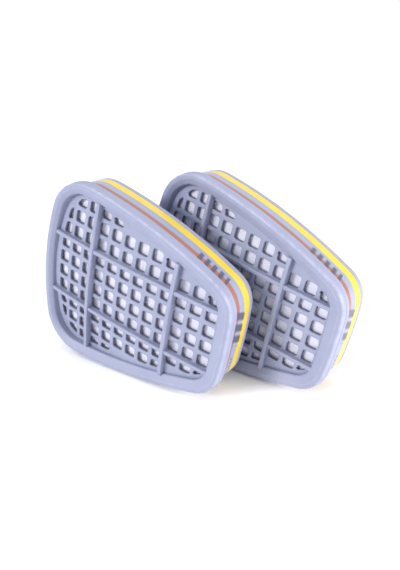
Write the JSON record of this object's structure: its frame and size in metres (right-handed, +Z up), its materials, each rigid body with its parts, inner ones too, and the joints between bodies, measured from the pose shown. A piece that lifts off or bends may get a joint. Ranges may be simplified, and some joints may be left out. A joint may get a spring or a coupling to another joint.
{
  "type": "respirator filter cartridges",
  "caption": "Pair of trapezoid bayonet gas cartridges for a half mask: domed grille front with crossing ribs, banded side label, cup housing with a round socket at the back.",
  "frame": {"origin": "on the table, under the middle of the pair's bounding box", "axes": "+X to the right along the front of the pair, +Y from the near cartridge back to the far one, +Z up"},
  "size_m": [0.1346, 0.0564, 0.082],
  "materials": {
    "shell": "pale lavender-grey moulded plastic with a fine satin texture",
    "scrim": "white non-woven fibre sheet",
    "carbon": "matt black granules",
    "grid": "pale grey moulded plastic",
    "label": "semi-gloss printed film with brown, grey-blue and yellow bands"
  },
  "bodies": {
    "near_cartridge": {"near_grille_cover": "shell", "near_housing": "shell", "near_label": "label", "near_inlet_scrim": "scrim", "near_carbon_bed": "carbon", "near_outlet_scrim": "scrim", "near_outlet_grid": "grid"},
    "far_cartridge": {"far_grille_cover": "shell", "far_housing": "shell", "far_label": "label", "far_inlet_scrim": "scrim", "far_carbon_bed": "carbon", "far_outlet_scrim": "scrim", "far_outlet_grid": "grid"}
  },
  "joints": [
    {"name": "far_lift_away", "type": "slide", "parent": "near_cartridge", "child": "far_cartridge", "axis": [0, 1, 0], "range_m": [0, 0.12]}
  ]
}
